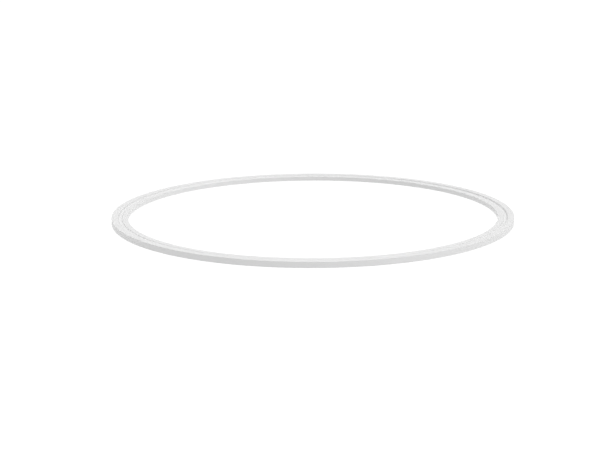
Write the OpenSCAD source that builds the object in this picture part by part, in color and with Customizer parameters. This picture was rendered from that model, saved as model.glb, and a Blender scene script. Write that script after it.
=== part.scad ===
// Gymnastics hoop of hollow flat profile: one extruded tube with a raised lip along each edge
// and a shallow groove between them, on both faces. The outer lips stand out further than the
// inner ones. The tube is bent to a ring whose two ends meet in a butt seam at +X. A plug inside bridges the seam, and drive pins in the lower
// groove hold it. Millimetres, +Z up, origin at the ring's centre on the surface it lies on.

/* [Hoop] */
// Outer diameter of the ring
outer_d = 900; // [500:10:1100]
// Width of the band, from its inner wall to its outer wall
band_w = 36; // [35.5:0.5:45]
// Height of the band, over its outer lips
band_h = 13; // [12:0.25:16]
// Thickness of the tube's wall
wall = 1.5; // [1:0.1:1.8]
// Radius along the band's four outer edges
edge_r = 0.6; // [0.3:0.1:1.5]
// Least radius along the edges inside the tube and on the plug
bore_r = 0.4; // [0.2:0.1:0.8]

/* [Lips and grooves] */
// Width of the flat top of the outer lip
outer_lip_w = 14.25; // [12:0.25:14.75]
// Width of the flat top of the inner lip
inner_lip_w = 12.25; // [10:0.25:12.75]
// How far the inner lip stays below the outer lip, on each face
inner_drop = 1.5; // [1:0.25:2]
// Depth of each groove below the outer lip
groove_depth = 3; // [2.2:0.1:3.2]
// Width of the slope from the outer lip down to the groove's floor
flank_w = 2.5; // [1:0.1:2.8]

/* [Seam and plug] */
// Gap between the tube's two ends, on the middle of the band
seam_gap = 0.3; // [0.1:0.1:1]
// Length of the plug, on the middle of the band
plug_len = 90; // [90:5:200]
// Clearance between the plug and the tube, all round
plug_gap = 0.15; // [0.05:0.05:0.2]
// Length of the slimmer nose at each end of the plug
nose_len = 8; // [3:1:10]
// How much slimmer the nose is, all round
nose_step = 0.4; // [0.2:0.1:0.5]

/* [Pins] */
// Pins on each side of the seam
pins_per_side = 2; // [1:1:3]
// Diameter of a pin's shank
pin_d = 3; // [2:0.1:4]
// Diameter of a pin's countersunk head
pin_head_d = 5; // [4.2:0.1:5.5]
// Height of a pin's countersunk head
pin_head_h = 1; // [0.5:0.1:1]
// Clearance of a pin in the tube's wall, all round
pin_gap = 0.05; // [0.02:0.01:0.1]
// Distance from the outermost pins to the tube's end and to the plug's nose
pin_edge = 9; // [6:0.5:9]

/* [Hidden] */
// One name for each sub-part

outer_r = outer_d / 2;
inner_r = outer_r - band_w;
mid_r = (inner_r + outer_r) / 2;
// The groove's two edges where its flanks' slopes reach the outer lip's height
groove_inner_r = inner_r + inner_lip_w - inner_drop * flank_w / groove_depth;
groove_outer_r = outer_r - outer_lip_w;
groove_mid_r = (groove_inner_r + groove_outer_r) / 2;

// Length of a groove's sloping flank
flank_len = sqrt(pow(flank_w, 2) + pow(groove_depth, 2));
// A cut reaches this far past the face that it opens
over = 1;
// The shank stops this far below the plug's upper face
pin_tip_gap = 0.4;

plug_inset = wall + plug_gap;
plug_floor_z = groove_depth + plug_inset;
plug_top_z = band_h - groove_depth - plug_inset;

// Numbers of facets; the solids are true arcs at any of these
ring_fn = 256;
edge_fn = 48;
pin_fn = 48;

// Angle round the ring's centre that a length on the middle of the band takes up
function arc_angle(length) = length / mid_r * 180 / PI;

// Distances of the first and last pin from the seam, and of each pin between them
pin_first = seam_gap / 2 + pin_edge;
pin_last = plug_len / 2 - nose_len - pin_edge;
function pin_distance(i) = pins_per_side == 1
    ? (pin_first + pin_last) / 2
    : pin_first + i * (pin_last - pin_first) / (pins_per_side - 1);

// Places of the pins, as angles from the seam, on both of its sides
pin_angles = [
    for (side = [-1, 1], i = [0 : pins_per_side - 1]) side * arc_angle(pin_distance(i))
];

// Rectangle with round corners, its lower left corner at the origin
module rounded_rect(w, h, r) {
    translate([r, 0]) square([w - 2 * r, h]);
    translate([0, r]) square([w, h - 2 * r]);
    for (x = [r, w - r], y = [r, h - r])
        translate([x, y]) circle(r = r, $fn = edge_fn);
}

// The upper groove's section, with its flanks and floor moved into the band by inset
module upper_groove(inset) {
    // Where the moved flank meets the moved floor, from the groove's edge
    foot = flank_w + inset * (flank_w - flank_len) / groove_depth;
    // Where the moved flank is at a height over above the lips, from the groove's edge
    head = -inset * flank_len / groove_depth - over * flank_w / groove_depth;
    floor_z = band_h - groove_depth - inset;
    polygon([
        [groove_inner_r + head, band_h + over],
        [groove_inner_r + foot, floor_z],
        [groove_outer_r - foot, floor_z],
        [groove_outer_r - head, band_h + over]
    ]);
}

// The band's section, moved inwards by inset on every side
module band_section(inset) {
    edge = max(edge_r - inset, bore_r);
    inner_z = inner_drop + inset;
    difference() {
        union() {
            translate([inner_r + inset, inner_z])
                rounded_rect(band_w - 2 * inset, band_h - 2 * inner_z, edge);
            translate([groove_mid_r, inset])
                rounded_rect(outer_r - inset - groove_mid_r, band_h - 2 * inset, edge);
        }
        upper_groove(inset);
        translate([0, band_h]) mirror([0, 1]) upper_groove(inset);
    }
}

// A stretch of ring centred on the seam, its length taken on the middle of the band
module band_stretch(inset, length) {
    sweep = arc_angle(length);
    rotate([0, 0, -sweep / 2])
        rotate_extrude(angle = sweep, $fn = ring_fn) band_section(inset);
}

// Puts its children at each pin's place, on the middle of the groove
module at_pins() {
    for (a = pin_angles)
        rotate([0, 0, a]) translate([groove_mid_r, 0, 0]) children();
}

// A pin from its head's face, in the lower groove's floor, up to its tip; grow adds clearance
module pin_shape(grow, tip_z) {
    cone_z = groove_depth + pin_head_h;
    translate([0, 0, groove_depth])
        cylinder(h = pin_head_h, d1 = pin_head_d + 2 * grow, d2 = pin_d + 2 * grow, $fn = pin_fn);
    translate([0, 0, cone_z])
        cylinder(h = tip_z - cone_z, d = pin_d + 2 * grow, $fn = pin_fn);
}

// The hole that a pin needs in the tube's lower wall, open into the groove and the hollow
module pin_hole() {
    pin_shape(pin_gap, plug_floor_z);
    translate([0, 0, groove_depth - over])
        cylinder(h = over, d = pin_head_d + 2 * pin_gap, $fn = pin_fn);
}

// The extruded tube, open only at its two ends
module hoop_tube() {
    gap_angle = arc_angle(seam_gap);
    color("white")
        difference() {
            rotate([0, 0, gap_angle / 2])
                rotate_extrude(angle = 360 - gap_angle, $fn = ring_fn)
                    difference() {
                        band_section(0);
                        band_section(wall);
                    }
            at_pins() pin_hole();
        }
}

// The plug inside the tube, with a slimmer nose at each end and a hole for each pin
module joint_plug() {
    color("whitesmoke")
        difference() {
            union() {
                band_stretch(plug_inset, plug_len - 2 * nose_len);
                band_stretch(plug_inset + nose_step, plug_len);
            }
            at_pins()
                translate([0, 0, plug_floor_z - over])
                    cylinder(h = plug_top_z - plug_floor_z + 2 * over, d = pin_d, $fn = pin_fn);
        }
}

// The drive pins, their heads flush with the lower groove's floor
module joint_pins() {
    color("ivory") at_pins() pin_shape(0, plug_top_z - pin_tip_gap);
}

hoop_tube();
joint_plug();
joint_pins();
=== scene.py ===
# Flat rhythmic gymnastics hoop: the looks of its band, pins and plug, and the studio it lies in.
# Every length is in metres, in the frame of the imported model.

import math

import bmesh
import bpy
from bpy.props import FloatProperty, FloatVectorProperty, IntProperty, PointerProperty
from mathutils import Matrix, Vector


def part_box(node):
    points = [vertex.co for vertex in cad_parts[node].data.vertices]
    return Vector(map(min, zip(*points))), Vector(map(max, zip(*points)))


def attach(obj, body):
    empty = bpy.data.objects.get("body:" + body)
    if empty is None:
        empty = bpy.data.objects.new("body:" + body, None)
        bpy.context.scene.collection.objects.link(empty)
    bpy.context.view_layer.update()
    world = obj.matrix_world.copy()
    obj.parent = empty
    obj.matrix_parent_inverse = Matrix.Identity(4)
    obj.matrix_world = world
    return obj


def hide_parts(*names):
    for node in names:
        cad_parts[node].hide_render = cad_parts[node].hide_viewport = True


bl_info = {
    "name": "Gymnastics Hoop",
    "version": (1, 0, 0),
    "blender": (4, 5, 0),
    "location": "View3D > Sidebar > Hoop",
    "description": "Builds the visible pieces of a flat gymnastics hoop and its studio",
    "category": "Add Mesh",
}

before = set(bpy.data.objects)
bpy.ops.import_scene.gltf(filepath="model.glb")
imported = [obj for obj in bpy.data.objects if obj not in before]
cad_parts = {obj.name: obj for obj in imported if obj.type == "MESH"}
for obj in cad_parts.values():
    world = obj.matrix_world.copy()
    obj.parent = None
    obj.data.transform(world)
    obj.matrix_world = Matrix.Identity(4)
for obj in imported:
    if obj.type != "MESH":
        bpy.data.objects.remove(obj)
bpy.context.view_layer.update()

TUBE_LOW, TUBE_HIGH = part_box("hoop_tube")
PLUG_LOW, PLUG_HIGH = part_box("joint_plug")
PIN_LOW, PIN_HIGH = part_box("joint_pins")
BODY = "root"

FULL_TURN = 2 * math.pi
# Segments in a quarter turn of the band's outer edges, and of the rest of its corners
EDGE_SEGMENTS = 6
CORNER_SEGMENTS = 4
# Steps in the rounding of the tube's ends
EASE_STEPS = 3
# Segments round a pin
PIN_SEGMENTS = 48
# Edges that turn more than this shade as creases
CREASE = math.radians(32)
# How far a cutter reaches past the faces that it opens
CUT_OVER = 0.0005
# The floor lies this far under the hoop, so that their faces don't meet
FLOOR_GAP = 0.0001


class HoopBandSettings(bpy.types.PropertyGroup):
    """Sizes of the extruded band"""

    outer_radius: FloatProperty(
        name="Outer Radius",
        description="From the ring's centre to the band's outer wall",
        default=max(-TUBE_LOW.x, -TUBE_LOW.y, TUBE_HIGH.y),
        min=0.2,
        max=0.6,
        precision=4,
        unit="LENGTH",
        subtype="DISTANCE",
    )
    width: FloatProperty(
        name="Band Width",
        description="From the band's inner wall to its outer wall",
        default=0.036,
        min=0.02,
        max=0.06,
        precision=4,
        unit="LENGTH",
        subtype="DISTANCE",
    )
    height: FloatProperty(
        name="Band Height",
        description="From the lower outer lip to the upper outer lip",
        default=TUBE_HIGH.z - TUBE_LOW.z,
        min=0.008,
        max=0.02,
        precision=4,
        unit="LENGTH",
        subtype="DISTANCE",
    )
    wall: FloatProperty(
        name="Wall",
        description="Thickness of the tube's wall",
        default=0.0015,
        min=0.001,
        max=0.002,
        precision=4,
        unit="LENGTH",
        subtype="DISTANCE",
    )
    outer_lip: FloatProperty(
        name="Outer Lip",
        description="Width of the outer lip's flat top",
        default=0.01425,
        min=0.005,
        max=0.018,
        precision=4,
        unit="LENGTH",
        subtype="DISTANCE",
    )
    inner_lip: FloatProperty(
        name="Inner Lip",
        description="Width of the inner lip's flat top",
        default=0.01225,
        min=0.003,
        max=0.014,
        precision=4,
        unit="LENGTH",
        subtype="DISTANCE",
    )
    inner_drop: FloatProperty(
        name="Inner Drop",
        description="How far the inner lip stays below the outer lip, on each face",
        default=0.0015,
        min=0.0,
        max=0.0025,
        precision=4,
        unit="LENGTH",
        subtype="DISTANCE",
    )
    groove_depth: FloatProperty(
        name="Groove Depth",
        description="Depth of each groove below the outer lip",
        default=0.003,
        min=0.001,
        max=0.004,
        precision=4,
        unit="LENGTH",
        subtype="DISTANCE",
    )
    flank: FloatProperty(
        name="Flank Width",
        description="Width of the slope from the outer lip down to the groove's floor",
        default=0.0025,
        min=0.0005,
        max=0.004,
        precision=4,
        unit="LENGTH",
        subtype="DISTANCE",
    )
    edge_radius: FloatProperty(
        name="Edge Radius",
        description="Rounding along the band's four outer edges",
        default=0.0007,
        min=0.0002,
        max=0.0015,
        precision=4,
        unit="LENGTH",
        subtype="DISTANCE",
    )
    lip_radius: FloatProperty(
        name="Lip Radius",
        description="Rounding where a lip turns down into its groove",
        default=0.0009,
        min=0.0001,
        max=0.0015,
        precision=4,
        unit="LENGTH",
        subtype="DISTANCE",
    )
    foot_radius: FloatProperty(
        name="Foot Radius",
        description="Fillet where a flank meets the groove's floor",
        default=0.0012,
        min=0.0001,
        max=0.0015,
        precision=4,
        unit="LENGTH",
        subtype="DISTANCE",
    )
    bore_radius: FloatProperty(
        name="Bore Radius",
        description="Rounding along the corners of the tube's hollow",
        default=0.0004,
        min=0.0001,
        max=0.001,
        precision=4,
        unit="LENGTH",
        subtype="DISTANCE",
    )
    seam_gap: FloatProperty(
        name="Seam Gap",
        description="Gap between the tube's two ends",
        default=0.0003,
        min=0.0001,
        max=0.001,
        precision=5,
        unit="LENGTH",
        subtype="DISTANCE",
    )
    seam_ease: FloatProperty(
        name="Seam Easing",
        description="Rounding of the sawn ends at the seam",
        default=0.00025,
        min=0.00005,
        max=0.0004,
        precision=5,
        unit="LENGTH",
        subtype="DISTANCE",
    )
    steps: IntProperty(
        name="Steps",
        description="Stations along the ring",
        default=720,
        min=64,
        max=900,
    )


class HoopPinSettings(bpy.types.PropertyGroup):
    """Sizes of the drive pins at the seam"""

    shank_radius: FloatProperty(
        name="Shank Radius",
        description="Radius of a pin's shank",
        default=0.0015,
        min=0.001,
        max=0.002,
        precision=4,
        unit="LENGTH",
        subtype="DISTANCE",
    )
    head_radius: FloatProperty(
        name="Head Radius",
        description="Radius of a pin's countersunk head",
        default=0.0025,
        min=0.002,
        max=0.003,
        precision=4,
        unit="LENGTH",
        subtype="DISTANCE",
    )
    head_height: FloatProperty(
        name="Head Height",
        description="Height of a pin's countersunk head",
        default=0.001,
        min=0.0005,
        max=0.001,
        precision=4,
        unit="LENGTH",
        subtype="DISTANCE",
    )
    clearance: FloatProperty(
        name="Clearance",
        description="Gap between a pin and the tube's wall, all round",
        default=0.00005,
        min=0.00002,
        max=0.0001,
        precision=5,
        unit="LENGTH",
        subtype="DISTANCE",
    )
    first: FloatProperty(
        name="First Pin",
        description="Distance of the first pin from the seam, on the middle of the band",
        default=0.00915,
        min=0.006,
        max=0.02,
        precision=4,
        unit="LENGTH",
        subtype="DISTANCE",
    )
    last: FloatProperty(
        name="Last Pin",
        description="Distance of the last pin from the seam, on the middle of the band",
        default=0.028,
        min=0.02,
        max=0.09,
        precision=4,
        unit="LENGTH",
        subtype="DISTANCE",
    )


class HoopFinishSettings(bpy.types.PropertyGroup):
    """Colours and surface of the plastics"""

    band_color: FloatVectorProperty(
        name="Band",
        description="White of the extruded plastic",
        default=(0.8, 0.8, 0.8),
        min=0.0,
        max=1.0,
        size=3,
        subtype="COLOR",
    )
    plug_color: FloatVectorProperty(
        name="Plug",
        description="Colour of the moulded plug inside the tube",
        default=(0.51, 0.51, 0.48),
        min=0.0,
        max=1.0,
        size=3,
        subtype="COLOR",
    )
    pin_color: FloatVectorProperty(
        name="Pins",
        description="Colour of the natural nylon pins",
        default=(0.64, 0.62, 0.55),
        min=0.0,
        max=1.0,
        size=3,
        subtype="COLOR",
    )
    dust_color: FloatVectorProperty(
        name="Dust",
        description="Colour of fine dust on upward faces",
        default=(0.7, 0.69, 0.67),
        min=0.0,
        max=1.0,
        size=3,
        subtype="COLOR",
    )


class HoopStudioSettings(bpy.types.PropertyGroup):
    """Floor, lights and camera"""

    floor_radius: FloatProperty(
        name="Floor Radius",
        description="Radius of the round light table",
        default=40.0,
        min=2.0,
        max=100.0,
        unit="LENGTH",
        subtype="DISTANCE",
    )
    floor_color: FloatVectorProperty(
        name="Floor",
        description="Colour of the floor's surface",
        default=(0.15, 0.15, 0.15),
        min=0.0,
        max=1.0,
        size=3,
        subtype="COLOR",
    )
    floor_glow: FloatProperty(
        name="Floor Glow",
        description="Light that the floor gives off of itself",
        default=0.92,
        min=0.0,
        max=4.0,
    )
    room_level: FloatProperty(
        name="Room Level",
        description="Even light from the room's walls",
        default=0.2,
        min=0.0,
        max=4.0,
    )
    distance: FloatProperty(
        name="Camera Distance",
        description="From the camera to the ring's centre, along the line of sight",
        default=3.42,
        min=1.0,
        max=10.0,
        precision=4,
        unit="LENGTH",
        subtype="DISTANCE",
    )
    elevation: FloatProperty(
        name="Camera Elevation",
        description="Angle of the line of sight below the horizontal",
        default=math.radians(13.063),
        min=0.0,
        max=math.pi / 2,
        precision=4,
        unit="ROTATION",
        subtype="ANGLE",
    )
    roll: FloatProperty(
        name="Camera Roll",
        description="Turn of the camera about its line of sight",
        default=math.radians(-0.233),
        min=-math.pi,
        max=math.pi,
        precision=4,
        unit="ROTATION",
        subtype="ANGLE",
    )
    lens: FloatProperty(
        name="Focal Length",
        description="Focal length on a 36 mm wide sensor, in millimetres",
        default=89.5,
        min=20.0,
        max=300.0,
        precision=3,
    )
    aside: FloatProperty(
        name="Ring To The Right",
        description="How far right of the line of sight the ring's centre lies",
        default=0.01758,
        min=-1.0,
        max=1.0,
        precision=5,
        unit="LENGTH",
        subtype="DISTANCE",
    )
    above: FloatProperty(
        name="Ring Above",
        description="How far above the line of sight the ring's centre lies",
        default=0.01676,
        min=-1.0,
        max=1.0,
        precision=5,
        unit="LENGTH",
        subtype="DISTANCE",
    )


# ---------------------------------------------------------------- sections and meshes


def rounded_section(corners, segments):
    """Points and outward normals round a section whose corners (x, z, radius) run anticlockwise"""
    outline = []
    count = len(corners)
    for index in range(count):
        before = Vector(corners[index - 1][:2])
        corner = Vector(corners[index][:2])
        after = Vector(corners[(index + 1) % count][:2])
        radius = corners[index][2]
        arriving = (corner - before).normalized()
        leaving = (after - corner).normalized()
        turn = math.atan2(arriving.cross(leaving), arriving.dot(leaving))
        start = corner - arriving * (radius * math.tan(abs(turn) / 2))
        side = math.copysign(1, turn)
        centre = start + Vector((-arriving.y, arriving.x)) * radius * side
        outward = Vector((arriving.y, -arriving.x))
        pieces = max(2, round(segments * abs(turn) / (math.pi / 2)))
        for step in range(pieces + 1):
            swing = Matrix.Rotation(turn * step / pieces, 2)
            outline.append((centre + swing @ (start - centre), swing @ outward))
    return outline


def band_corners(band, inset):
    """Corners of the band's section, moved inwards by inset on every side"""
    outer = band.outer_radius
    inner = outer - band.width
    groove_in = inner + band.inner_lip
    groove_out = outer - band.outer_lip
    slope = math.hypot(band.flank, band.groove_depth)
    inner_flank = band.flank * (1 - band.inner_drop / band.groove_depth)
    # How far a corner between a flank and a flat face shifts along that face when both are moved
    shift = inset * (band.flank - slope) / band.groove_depth
    low = inset
    inner_low = band.inner_drop + inset
    floor = band.groove_depth + inset
    if inset > 0:
        edge = lip = foot = band.bore_radius
    else:
        edge, lip, foot = band.edge_radius, band.lip_radius, band.foot_radius
    lower = [
        (inner + inset, inner_low, edge),
        (groove_in + shift, inner_low, lip),
        (groove_in + inner_flank + shift, floor, foot),
        (groove_out - band.flank - shift, floor, foot),
        (groove_out - shift, low, lip),
        (outer - inset, low, edge),
    ]
    upper = [(x, band.height - z, radius) for x, z, radius in reversed(lower)]
    return lower + upper


def ring_of(mesh, outline, angle, inset=0.0):
    """Adds one loop of the section at an angle round the ring"""
    loop = []
    for point, outward in outline:
        radius, height = point - outward * inset
        loop.append(mesh.verts.new((radius * math.cos(angle), radius * math.sin(angle), height)))
    return loop


def skin(mesh, loops, inward=False):
    """Joins neighbouring loops with four-sided faces, with their fronts outwards or inwards"""
    for first, second in zip(loops, loops[1:]):
        for index in range(len(first)):
            face = [first[index - 1], first[index], second[index], second[index - 1]]
            mesh.faces.new(face[::-1] if inward else face)


def close_end(mesh, outside, inside):
    """Fills the flat ring between the outer loop and the hollow's loop"""
    edges = []
    for loop in (outside, inside):
        for index in range(len(loop)):
            edges.append(mesh.edges.get((loop[index - 1], loop[index])))
    bmesh.ops.triangle_fill(mesh, use_beauty=True, edges=edges)


def lathe(mesh, profile, place):
    """Turns a closed profile of (radius, height) pairs about the vertical axis, at a place"""
    rows = []
    for radius, height in profile:
        if radius == 0:
            rows.append([mesh.verts.new(place @ Vector((0, 0, height)))])
            continue
        row = []
        for step in range(PIN_SEGMENTS):
            angle = FULL_TURN * step / PIN_SEGMENTS
            spot = Vector((radius * math.cos(angle), radius * math.sin(angle), height))
            row.append(mesh.verts.new(place @ spot))
        rows.append(row)
    for low, high in zip(rows, rows[1:]):
        for step in range(PIN_SEGMENTS):
            if len(low) == 1:
                mesh.faces.new((low[0], high[step], high[step - 1]))
            elif len(high) == 1:
                mesh.faces.new((low[step - 1], low[step], high[0]))
            else:
                mesh.faces.new((low[step - 1], low[step], high[step], high[step - 1]))


def make_piece(name, mesh):
    """Turns a bmesh into an object in the scene"""
    bmesh.ops.recalc_face_normals(mesh, faces=mesh.faces)
    data = bpy.data.meshes.new(name)
    mesh.to_mesh(data)
    mesh.free()
    piece = bpy.data.objects.new(name, data)
    bpy.context.scene.collection.objects.link(piece)
    return piece


def settle(piece):
    """Applies the piece's modifiers to its mesh"""
    graph = bpy.context.evaluated_depsgraph_get()
    settled = bpy.data.meshes.new_from_object(piece.evaluated_get(graph), depsgraph=graph)
    piece.modifiers.clear()
    old = piece.data
    piece.data = settled
    settled.name = piece.name
    bpy.data.meshes.remove(old)


def shade(piece):
    """Smooth shading with creases, its flat faces kept flat"""
    piece.data.shade_smooth()
    piece.data.set_sharp_from_angle(angle=CREASE)
    weighted = piece.modifiers.new("even_faces", "WEIGHTED_NORMAL")
    weighted.mode = "FACE_AREA"
    weighted.weight = 100
    weighted.keep_sharp = True
    settle(piece)


def dress(piece, material):
    """Gives every material slot of the piece this material"""
    if not piece.data.materials:
        piece.data.materials.append(material)
    for slot in piece.material_slots:
        slot.material = material


def pin_places(band, pins):
    """Matrices that put an upright pin on the middle of the groove at each of its places"""
    inner = band.outer_radius - band.width
    middle = inner + band.width / 2
    inner_flank = band.flank * (1 - band.inner_drop / band.groove_depth)
    floor_start = inner + band.inner_lip + inner_flank
    floor_end = band.outer_radius - band.outer_lip - band.flank
    groove = (floor_start + floor_end) / 2
    places = []
    for distance in (-pins.last, -pins.first, pins.first, pins.last):
        turn = Matrix.Rotation(distance / middle, 4, "Z")
        places.append(turn @ Matrix.Translation((groove, 0, 0)))
    return places


# ---------------------------------------------------------------- materials


def add(tree, kind, **settings):
    """Adds a node and sets what it is told, names of sockets with their first letter upper case"""
    node = tree.nodes.new("ShaderNode" + kind)
    for name, value in settings.items():
        if name[0].isupper():
            node.inputs[name.replace("_", " ")].default_value = value
        else:
            setattr(node, name, value)
    return node


def calc(tree, operation, first, second=None, third=None, clamp=False):
    """Adds a Math node on sockets or numbers, and gives its result"""
    node = add(tree, "Math", operation=operation, use_clamp=clamp)
    for index, source in enumerate((first, second, third)):
        if isinstance(source, (int, float)):
            node.inputs[index].default_value = source
        elif source is not None:
            tree.links.new(source, node.inputs[index])
    return node.outputs[0]


def new_group(name, inputs, outputs):
    """Starts a shader node group with named sockets, and gives it with its two end nodes"""
    tree = bpy.data.node_groups.new(name, "ShaderNodeTree")
    for label, default in inputs:
        socket = tree.interface.new_socket(name=label, in_out="INPUT", socket_type="NodeSocketFloat")
        socket.default_value = default
    for label in outputs:
        tree.interface.new_socket(name=label, in_out="OUTPUT", socket_type="NodeSocketFloat")
    return tree, tree.nodes.new("NodeGroupInput").outputs, tree.nodes.new("NodeGroupOutput").inputs


def surface_point(tree):
    """The point on the piece that is being shaded"""
    return add(tree, "TexCoord").outputs["Object"]


def band_place(tree):
    """Distance from the hoop's axis, height above the floor and the point itself"""
    point = surface_point(tree)
    split = add(tree, "SeparateXYZ")
    tree.links.new(point, split.inputs[0])
    across = calc(tree, "MULTIPLY", split.outputs["X"], split.outputs["X"])
    radius = calc(tree, "SQRT", calc(tree, "MULTIPLY_ADD", split.outputs["Y"], split.outputs["Y"], across))
    return radius, split.outputs["Z"], point


def noise_at(tree, vector, scale, detail=2.0, roughness=0.5):
    """Adds a noise texture on a vector, its scale a socket or a number"""
    node = add(tree, "TexNoise", Detail=detail, Roughness=roughness)
    tree.links.new(vector, node.inputs["Vector"])
    if isinstance(scale, (int, float)):
        node.inputs["Scale"].default_value = scale
    else:
        tree.links.new(scale, node.inputs["Scale"])
    return node.outputs["Fac"]


def fine_grain_group():
    """Orange-peel skin of moulded plastic, and its slow change of tone"""
    tree, given, result = new_group(
        "Fine Grain", [("Grain Size", 0.0004), ("Cloud Size", 0.05)], ["Height", "Tone"]
    )
    point = surface_point(tree)
    grain = noise_at(tree, point, calc(tree, "DIVIDE", 1.0, given["Grain Size"]), 3.0, 0.55)
    cloud = noise_at(tree, point, calc(tree, "DIVIDE", 1.0, given["Cloud Size"]), 2.0, 0.5)
    tree.links.new(grain, result["Height"])
    tree.links.new(cloud, result["Tone"])
    return tree


def drawn_lines_group():
    """Faint lines that the die leaves along an extrusion, fading in and out on their way"""
    tree, given, result = new_group("Drawn Lines", [("Spacing", 0.0006), ("Drift", 0.4)], ["Height"])
    radius, height, point = band_place(tree)
    drift = calc(tree, "MULTIPLY", noise_at(tree, point, 6.0, 1.0), given["Drift"])
    joined = add(tree, "CombineXYZ")
    tree.links.new(calc(tree, "DIVIDE", radius, given["Spacing"]), joined.inputs["X"])
    tree.links.new(calc(tree, "DIVIDE", height, given["Spacing"]), joined.inputs["Y"])
    tree.links.new(drift, joined.inputs["Z"])
    tree.links.new(noise_at(tree, joined.outputs[0], 1.0, 2.0, 0.6), result["Height"])
    return tree


def edge_wear_group():
    """Where handling has rubbed the long edges of a ring of this section"""
    tree, given, result = new_group(
        "Edge Wear",
        [
            ("Inner Radius", 0.414),
            ("Groove Start", 0.42625),
            ("Groove End", 0.43575),
            ("Outer Radius", 0.45),
            ("Bottom", 0.0),
            ("Top", 0.013),
            ("Reach", 0.001),
        ],
        ["Mask"],
    )
    radius, height, point = band_place(tree)
    nearest = None
    for name in ("Inner Radius", "Groove Start", "Groove End", "Outer Radius"):
        gap = calc(tree, "ABSOLUTE", calc(tree, "SUBTRACT", radius, given[name]))
        nearest = gap if nearest is None else calc(tree, "MINIMUM", nearest, gap)
    from_bottom = calc(tree, "ABSOLUTE", calc(tree, "SUBTRACT", height, given["Bottom"]))
    from_top = calc(tree, "ABSOLUTE", calc(tree, "SUBTRACT", height, given["Top"]))
    level = calc(tree, "MINIMUM", from_bottom, from_top)
    square = calc(tree, "MULTIPLY_ADD", level, level, calc(tree, "MULTIPLY", nearest, nearest))
    share = calc(tree, "DIVIDE", calc(tree, "SQRT", square), given["Reach"])
    close = calc(tree, "SUBTRACT", 1.0, share, clamp=True)
    patchy = add(tree, "MapRange", interpolation_type="SMOOTHSTEP")
    patchy.inputs["From Min"].default_value = 0.42
    patchy.inputs["From Max"].default_value = 0.68
    tree.links.new(noise_at(tree, point, 45.0, 4.0, 0.6), patchy.inputs["Value"])
    tree.links.new(calc(tree, "MULTIPLY", close, patchy.outputs["Result"]), result["Mask"])
    return tree


def dust_group():
    """Fine dust that settles on faces that look up"""
    tree, given, result = new_group("Settled Dust", [("Speck Size", 0.0012), ("Cover", 0.5)], ["Mask"])
    point = surface_point(tree)
    facing = add(tree, "SeparateXYZ")
    tree.links.new(add(tree, "NewGeometry").outputs["Normal"], facing.inputs[0])
    up = calc(tree, "POWER", calc(tree, "MAXIMUM", facing.outputs["Z"], 0.0), 3.0)
    speck = noise_at(tree, point, calc(tree, "DIVIDE", 1.0, given["Speck Size"]), 4.0, 0.7)
    drift = noise_at(tree, point, 9.0, 3.0, 0.6)
    heap = calc(tree, "MULTIPLY", speck, drift)
    edge = calc(tree, "SUBTRACT", 1.0, given["Cover"])
    above_edge = calc(tree, "SUBTRACT", heap, calc(tree, "MULTIPLY", edge, 0.4))
    cover = calc(tree, "MULTIPLY", above_edge, 5.0, clamp=True)
    tree.links.new(calc(tree, "MULTIPLY", cover, up), result["Mask"])
    return tree


def scuffs_group():
    """Thin hairline scratches that cross each other"""
    tree, given, result = new_group("Hairline Scuffs", [("Length", 0.03), ("Amount", 0.5)], ["Mask"])
    point = surface_point(tree)
    found = None
    for turn, squeeze in ((0.35, 26.0), (-0.8, 34.0), (1.9, 22.0)):
        mapping = add(tree, "Mapping")
        mapping.inputs["Rotation"].default_value = (0.15, 0.1, turn)
        mapping.inputs["Scale"].default_value = (1.0, squeeze, squeeze)
        tree.links.new(point, mapping.inputs["Vector"])
        streak = noise_at(tree, mapping.outputs[0], calc(tree, "DIVIDE", 1.0, given["Length"]), 2.0, 0.5)
        off = calc(tree, "ABSOLUTE", calc(tree, "SUBTRACT", streak, 0.5))
        line = calc(tree, "SUBTRACT", 1.0, calc(tree, "MULTIPLY", off, 90.0), clamp=True)
        found = line if found is None else calc(tree, "MAXIMUM", found, line)
    where = noise_at(tree, point, 24.0, 2.0, 0.5)
    shown = calc(tree, "MULTIPLY", calc(tree, "SUBTRACT", where, 0.45), 6.0, clamp=True)
    strength = calc(tree, "MULTIPLY", calc(tree, "MULTIPLY", found, shown), given["Amount"])
    tree.links.new(strength, result["Mask"])
    return tree


GROUP_MAKERS = {
    "Fine Grain": fine_grain_group,
    "Drawn Lines": drawn_lines_group,
    "Edge Wear": edge_wear_group,
    "Settled Dust": dust_group,
    "Hairline Scuffs": scuffs_group,
}


def use_group(tree, name, **values):
    """Places a shared node group in a material, with its own values"""
    node = tree.nodes.new("ShaderNodeGroup")
    node.node_tree = bpy.data.node_groups.get(name) or GROUP_MAKERS[name]()
    for label, value in values.items():
        node.inputs[label.replace("_", " ")].default_value = value
    return node.outputs


def blend_color(tree, amount, first, second, blend="MIX"):
    """Mixes two colours, each a socket or a value, by a socket"""
    node = add(tree, "Mix", data_type="RGBA", blend_type=blend)
    tree.links.new(amount, node.inputs["Factor"])
    for slot, source in ((6, first), (7, second)):
        if isinstance(source, bpy.types.NodeSocket):
            tree.links.new(source, node.inputs[slot])
        else:
            node.inputs[slot].default_value = (*source, 1.0)
    return node.outputs[2]


def scaled(color, share):
    """A colour times a number"""
    return tuple(channel * share for channel in color)


def start_plastic(name, specular):
    """A material with a Principled shader, with its node tree and the shader"""
    material = bpy.data.materials.new(name)
    material.use_nodes = True
    tree = material.node_tree
    tree.nodes.clear()
    shader = add(tree, "BsdfPrincipled")
    output = add(tree, "OutputMaterial")
    tree.links.new(shader.outputs["BSDF"], output.inputs["Surface"])
    shader.inputs["IOR"].default_value = 1.5
    shader.inputs["Specular IOR Level"].default_value = specular
    return material, tree, shader


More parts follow.
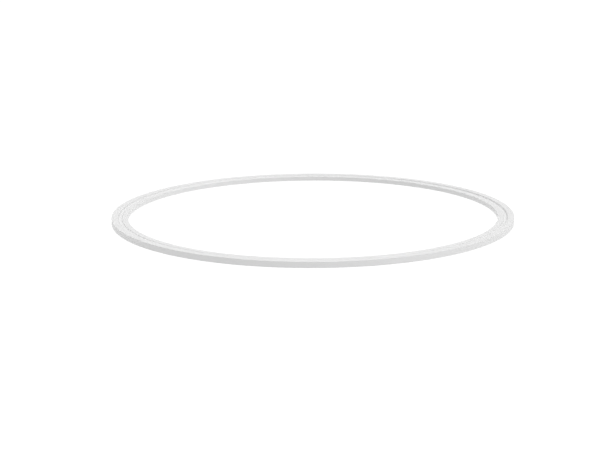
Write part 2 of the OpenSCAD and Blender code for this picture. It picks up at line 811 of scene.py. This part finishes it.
def bump(tree, height, strength, depth, normal=None):
    """Adds a Bump node on a height, over a normal that may already be bumped"""
    node = add(tree, "Bump")
    node.inputs["Strength"].default_value = strength
    node.inputs["Distance"].default_value = depth
    tree.links.new(height, node.inputs["Height"])
    if normal is not None:
        tree.links.new(normal, node.inputs["Normal"])
    return node.outputs["Normal"]


def band_plastic(finish, band):
    """White satin extrusion: drawn lines, fine skin, rubbed edges, a little dust and hairlines"""
    material, tree, shader = start_plastic("hoop_plastic", 0.5)
    inner = band.outer_radius - band.width
    grain = use_group(tree, "Fine Grain", Grain_Size=0.0006, Cloud_Size=0.07)
    lines = use_group(tree, "Drawn Lines", Spacing=0.0007, Drift=0.5)
    wear = use_group(
        tree,
        "Edge Wear",
        Inner_Radius=inner,
        Groove_Start=inner + band.inner_lip,
        Groove_End=band.outer_radius - band.outer_lip,
        Outer_Radius=band.outer_radius,
        Bottom=0.0,
        Top=band.height,
        Reach=0.0013,
    )
    dust = use_group(tree, "Settled Dust", Speck_Size=0.0016, Cover=0.5)
    scuffs = use_group(tree, "Hairline Scuffs", Length=0.035, Amount=0.5)
    plain = tuple(finish.band_color)
    color = blend_color(tree, grain["Tone"], scaled(plain, 0.985), scaled(plain, 1.015))
    color = blend_color(tree, calc(tree, "MULTIPLY", wear["Mask"], 0.5), color, scaled(plain, 0.96))
    color = blend_color(tree, calc(tree, "MULTIPLY", dust["Mask"], 0.05), color, tuple(finish.dust_color))
    color = blend_color(tree, calc(tree, "MULTIPLY", scuffs["Mask"], 0.05), color, scaled(plain, 0.93))
    tree.links.new(color, shader.inputs["Base Color"])
    rough = calc(tree, "MULTIPLY_ADD", grain["Tone"], 0.08, 0.36)
    rough = calc(tree, "MULTIPLY_ADD", wear["Mask"], -0.08, rough)
    rough = calc(tree, "MULTIPLY_ADD", dust["Mask"], 0.06, rough)
    rough = calc(tree, "MULTIPLY_ADD", scuffs["Mask"], 0.05, rough)
    tree.links.new(rough, shader.inputs["Roughness"])
    normal = bump(tree, lines["Height"], 0.25, 0.00003)
    normal = bump(tree, grain["Height"], 0.2, 0.00003, normal)
    normal = bump(tree, calc(tree, "SUBTRACT", 1.0, scuffs["Mask"]), 0.04, 0.00001, normal)
    tree.links.new(normal, shader.inputs["Normal"])
    return material


def plug_plastic(finish, band):
    """Plain moulded plastic of the plug, with marks where it was driven into the tube"""
    material, tree, shader = start_plastic("plug_plastic", 0.45)
    grain = use_group(tree, "Fine Grain", Grain_Size=0.0005, Cloud_Size=0.03)
    inner = band.outer_radius - band.width
    margin = PLUG_LOW.z
    wear = use_group(
        tree,
        "Edge Wear",
        Inner_Radius=inner + margin,
        Groove_Start=inner + band.inner_lip,
        Groove_End=band.outer_radius - band.outer_lip,
        Outer_Radius=band.outer_radius - margin,
        Bottom=PLUG_LOW.z,
        Top=PLUG_HIGH.z,
        Reach=0.0012,
    )
    scuffs = use_group(tree, "Hairline Scuffs", Length=0.02, Amount=0.9)
    plain = tuple(finish.plug_color)
    color = blend_color(tree, grain["Tone"], scaled(plain, 0.95), scaled(plain, 1.05))
    color = blend_color(tree, calc(tree, "MULTIPLY", wear["Mask"], 0.6), color, scaled(plain, 1.2))
    color = blend_color(tree, calc(tree, "MULTIPLY", scuffs["Mask"], 0.4), color, scaled(plain, 0.85))
    tree.links.new(color, shader.inputs["Base Color"])
    rough = calc(tree, "MULTIPLY_ADD", grain["Tone"], 0.1, 0.45)
    rough = calc(tree, "MULTIPLY_ADD", scuffs["Mask"], 0.15, rough)
    tree.links.new(rough, shader.inputs["Roughness"])
    normal = bump(tree, grain["Height"], 0.3, 0.00004)
    normal = bump(tree, calc(tree, "SUBTRACT", 1.0, scuffs["Mask"]), 0.4, 0.00003, normal)
    tree.links.new(normal, shader.inputs["Normal"])
    return material


def pin_plastic(finish):
    """Natural nylon of the pins, a little marked by the tool that drove them in"""
    material, tree, shader = start_plastic("pin_plastic", 0.5)
    grain = use_group(tree, "Fine Grain", Grain_Size=0.0003, Cloud_Size=0.002)
    dust = use_group(tree, "Settled Dust", Speck_Size=0.0008, Cover=0.6)
    scuffs = use_group(tree, "Hairline Scuffs", Length=0.004, Amount=1.0)
    plain = tuple(finish.pin_color)
    color = blend_color(tree, grain["Tone"], scaled(plain, 0.94), scaled(plain, 1.06))
    color = blend_color(tree, calc(tree, "MULTIPLY", dust["Mask"], 0.3), color, tuple(finish.dust_color))
    color = blend_color(tree, calc(tree, "MULTIPLY", scuffs["Mask"], 0.4), color, scaled(plain, 0.8))
    tree.links.new(color, shader.inputs["Base Color"])
    rough = calc(tree, "MULTIPLY_ADD", grain["Tone"], 0.12, 0.32)
    rough = calc(tree, "MULTIPLY_ADD", scuffs["Mask"], 0.2, rough)
    tree.links.new(rough, shader.inputs["Roughness"])
    normal = bump(tree, grain["Height"], 0.3, 0.00003)
    normal = bump(tree, calc(tree, "SUBTRACT", 1.0, scuffs["Mask"]), 0.4, 0.00002, normal)
    tree.links.new(normal, shader.inputs["Normal"])
    return material


# ---------------------------------------------------------------- operators


class HOOP_OT_build_band(bpy.types.Operator):
    """Build the extruded band with its lips, grooves, hollow, seam and pin holes"""

    bl_idname = "hoop.build_band"
    bl_label = "Build Band"

    def execute(self, context):
        band = context.scene.hoop_band
        pins = context.scene.hoop_pins
        section = rounded_section(band_corners(band, 0.0), EDGE_SEGMENTS)
        hollow = rounded_section(band_corners(band, band.wall), CORNER_SEGMENTS)
        middle = band.outer_radius - band.width / 2
        half_gap = band.seam_gap / 2 / middle
        ease = band.seam_ease
        # Angles along the ring, each with how far the section is drawn in there
        stations = []
        for step in range(EASE_STEPS):
            swing = math.pi / 2 * step / EASE_STEPS
            along = ease * (1 - math.cos(swing)) / middle
            stations.append((half_gap + along, ease * (1 - math.sin(swing))))
        first = half_gap + ease / middle
        sweep = FULL_TURN - 2 * first
        for step in range(band.steps + 1):
            stations.append((first + sweep * step / band.steps, 0.0))
        for angle, inset in reversed(stations[:EASE_STEPS]):
            stations.append((FULL_TURN - angle, inset))
        mesh = bmesh.new()
        loops = []
        hollow_loops = []
        for angle, inset in stations:
            loops.append(ring_of(mesh, section, angle, inset))
            hollow_loops.append(ring_of(mesh, hollow, angle))
        skin(mesh, loops)
        skin(mesh, hollow_loops, inward=True)
        close_end(mesh, loops[0], hollow_loops[0])
        close_end(mesh, loops[-1], hollow_loops[-1])
        piece = make_piece("band", mesh)
        self.cut_pin_holes(piece, band, pins)
        shade(piece)
        dress(piece, band_plastic(context.scene.hoop_finish, band))
        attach(piece, BODY)
        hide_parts("hoop_tube")
        return {"FINISHED"}

    def cut_pin_holes(self, piece, band, pins):
        """Cuts the countersunk holes through the wall under the groove"""
        before = len(piece.data.polygons)
        floor = band.groove_depth
        wide = pins.head_radius + pins.clearance
        narrow = pins.shank_radius + pins.clearance
        above_wall = floor + band.wall + CUT_OVER
        profile = [
            (0, floor - CUT_OVER),
            (wide, floor - CUT_OVER),
            (wide, floor),
            (narrow, floor + pins.head_height),
            (narrow, above_wall),
            (0, above_wall),
        ]
        mesh = bmesh.new()
        for place in pin_places(band, pins):
            lathe(mesh, profile, place)
        cutter = make_piece("pin_hole_cutter", mesh)
        cut = piece.modifiers.new("pin_holes", "BOOLEAN")
        cut.operation = "DIFFERENCE"
        cut.solver = "MANIFOLD"
        cut.object = cutter
        settle(piece)
        bpy.data.objects.remove(cutter)
        if len(piece.data.polygons) <= before:
            raise RuntimeError("the pin holes were not cut in the band")


class HOOP_OT_build_pins(bpy.types.Operator):
    """Build the four drive pins, their softly domed heads level with the lower groove's floor"""

    bl_idname = "hoop.build_pins"
    bl_label = "Build Pins"

    def execute(self, context):
        band = context.scene.hoop_band
        pins = context.scene.hoop_pins
        base = PIN_LOW.z
        tip = PIN_HIGH.z
        head = pins.head_radius
        shank = pins.shank_radius
        dimple = 0.4 * head
        round_off = 0.00015
        chamfer = 0.0004
        profile = [
            (0, base + 0.00022),
            (dimple * 0.6, base + 0.00018),
            (dimple, base + 0.00004),
            (dimple * 1.15, base),
            (head - round_off * 2, base),
            (head - round_off, base + 0.00002),
            (head - round_off * 0.3, base + 0.00008),
            (head, base + round_off),
            (shank + 0.00006, base + pins.head_height - 0.00004),
            (shank, base + pins.head_height + 0.00008),
            (shank, tip - chamfer),
            (shank - chamfer * 0.3, tip - chamfer * 0.3),
            (shank - chamfer, tip),
            (0, tip),
        ]
        mesh = bmesh.new()
        for place in pin_places(band, pins):
            lathe(mesh, profile, place)
        piece = make_piece("drive_pins", mesh)
        shade(piece)
        dress(piece, pin_plastic(context.scene.hoop_finish))
        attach(piece, BODY)
        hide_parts("joint_pins")
        return {"FINISHED"}


class HOOP_OT_finish_plug(bpy.types.Operator):
    """Give the plug inside the tube its moulded plastic"""

    bl_idname = "hoop.finish_plug"
    bl_label = "Finish Plug"

    def execute(self, context):
        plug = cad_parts.get("joint_plug")
        if plug is None:
            raise RuntimeError("the packed model has no joint_plug")
        dress(plug, plug_plastic(context.scene.hoop_finish, context.scene.hoop_band))
        return {"FINISHED"}


# Soft lights: name, azimuth and elevation it shines from, its angular size, all in degrees, and
# its strength. Azimuth 0 is the camera's side, 90 the right, 180 the back.
LIGHTS = (
    ("overhead_softbox", 0, 90, 70, 2.1),
    ("right_softbox", 70, 30, 60, 0.75),
    ("back_softbox", 180, 35, 60, 0.4),
    ("left_softbox", 270, 30, 60, 0.1),
)


class HOOP_OT_build_stage(bpy.types.Operator):
    """Set up the pale light table, the soft studio lights and the camera"""

    bl_idname = "hoop.build_stage"
    bl_label = "Build Stage"

    def execute(self, context):
        studio = context.scene.hoop_studio
        self.build_floor(studio)
        self.build_room(context.scene, studio)
        self.build_lights(context.scene)
        self.build_camera(context.scene, studio)
        context.scene.view_settings.view_transform = "Standard"
        context.scene.view_settings.look = "None"
        return {"FINISHED"}

    def build_floor(self, studio):
        """A wide round floor just under the hoop"""
        mesh = bmesh.new()
        bmesh.ops.create_circle(mesh, cap_ends=True, cap_tris=True, segments=96, radius=studio.floor_radius)
        floor = make_piece("studio_floor", mesh)
        floor.location.z = TUBE_LOW.z - FLOOR_GAP
        material = bpy.data.materials.new("pale_floor")
        material.use_nodes = True
        shader = material.node_tree.nodes["Principled BSDF"]
        shader.inputs["Base Color"].default_value = (*studio.floor_color, 1.0)
        shader.inputs["Roughness"].default_value = 0.9
        shader.inputs["Specular IOR Level"].default_value = 0.0
        shader.inputs["Emission Color"].default_value = (1.0, 1.0, 1.0, 1.0)
        shader.inputs["Emission Strength"].default_value = studio.floor_glow
        dress(floor, material)

    def build_room(self, scene, studio):
        """Even light from all round, with a white backdrop behind"""
        world = bpy.data.worlds.new("studio_room")
        world.use_nodes = True
        tree = world.node_tree
        tree.nodes.clear()
        fill = add(tree, "Background", Strength=studio.room_level)
        backdrop = add(tree, "Background", Strength=1.1)
        fill.inputs["Color"].default_value = (1.0, 1.0, 1.0, 1.0)
        backdrop.inputs["Color"].default_value = (1.0, 1.0, 1.0, 1.0)
        pick = add(tree, "MixShader")
        tree.links.new(add(tree, "LightPath").outputs["Is Camera Ray"], pick.inputs[0])
        tree.links.new(fill.outputs[0], pick.inputs[1])
        tree.links.new(backdrop.outputs[0], pick.inputs[2])
        tree.links.new(pick.outputs[0], add(tree, "OutputWorld").inputs["Surface"])
        scene.world = world

    def build_lights(self, scene):
        """Wide, far lights that fall evenly on the whole floor"""
        for name, azimuth, elevation, size, strength in LIGHTS:
            data = bpy.data.lights.new(name, "SUN")
            data.energy = strength
            data.angle = math.radians(size)
            lamp = bpy.data.objects.new(name, data)
            turn = Matrix.Rotation(math.radians(azimuth), 4, "Z")
            tilt = Matrix.Rotation(math.radians(90 - elevation), 4, "X")
            lamp.matrix_world = turn @ tilt
            scene.collection.objects.link(lamp)

    def build_camera(self, scene, studio):
        """A camera on the hoop's left to right axis, looking down on it"""
        data = bpy.data.cameras.new("studio_camera")
        data.sensor_width = 36.0
        data.lens = studio.lens
        data.clip_end = 200.0
        camera = bpy.data.objects.new("studio_camera", data)
        aim = Matrix.Rotation(math.pi / 2 - studio.elevation, 4, "X")
        aim = aim @ Matrix.Rotation(studio.roll, 4, "Z")
        offset = aim @ Vector((-studio.aside, -studio.above, studio.distance))
        camera.matrix_world = Matrix.Translation(offset) @ aim
        scene.collection.objects.link(camera)
        scene.camera = camera


class HOOP_PT_pieces(bpy.types.Panel):
    """The hoop's pieces and its studio"""

    bl_label = "Gymnastics Hoop"
    bl_idname = "HOOP_PT_pieces"
    bl_space_type = "VIEW_3D"
    bl_region_type = "UI"
    bl_category = "Hoop"

    def draw(self, context):
        for title, settings, operators in PANEL_ROWS:
            box = self.layout.box()
            box.label(text=title)
            group = getattr(context.scene, settings)
            for name in group.bl_rna.properties.keys():
                if name not in ("rna_type", "name"):
                    box.prop(group, name)
            for operator in operators:
                box.operator(operator)


PANEL_ROWS = (
    ("Band", "hoop_band", ("hoop.build_band",)),
    ("Pins", "hoop_pins", ("hoop.build_pins",)),
    ("Finish", "hoop_finish", ("hoop.finish_plug",)),
    ("Studio", "hoop_studio", ("hoop.build_stage",)),
)

SETTINGS = {
    "hoop_band": HoopBandSettings,
    "hoop_pins": HoopPinSettings,
    "hoop_finish": HoopFinishSettings,
    "hoop_studio": HoopStudioSettings,
}

CLASSES = (
    *SETTINGS.values(),
    HOOP_OT_build_band,
    HOOP_OT_build_pins,
    HOOP_OT_finish_plug,
    HOOP_OT_build_stage,
    HOOP_PT_pieces,
)


def register():
    for cls in CLASSES:
        bpy.utils.register_class(cls)
    for name, settings in SETTINGS.items():
        setattr(bpy.types.Scene, name, PointerProperty(type=settings))


def unregister():
    for name in SETTINGS:
        delattr(bpy.types.Scene, name)
    for cls in reversed(CLASSES):
        bpy.utils.unregister_class(cls)


def main():
    register()
    bpy.ops.hoop.build_band()
    bpy.ops.hoop.build_pins()
    bpy.ops.hoop.finish_plug()
    bpy.ops.hoop.build_stage()


if __name__ == "__main__":
    main()
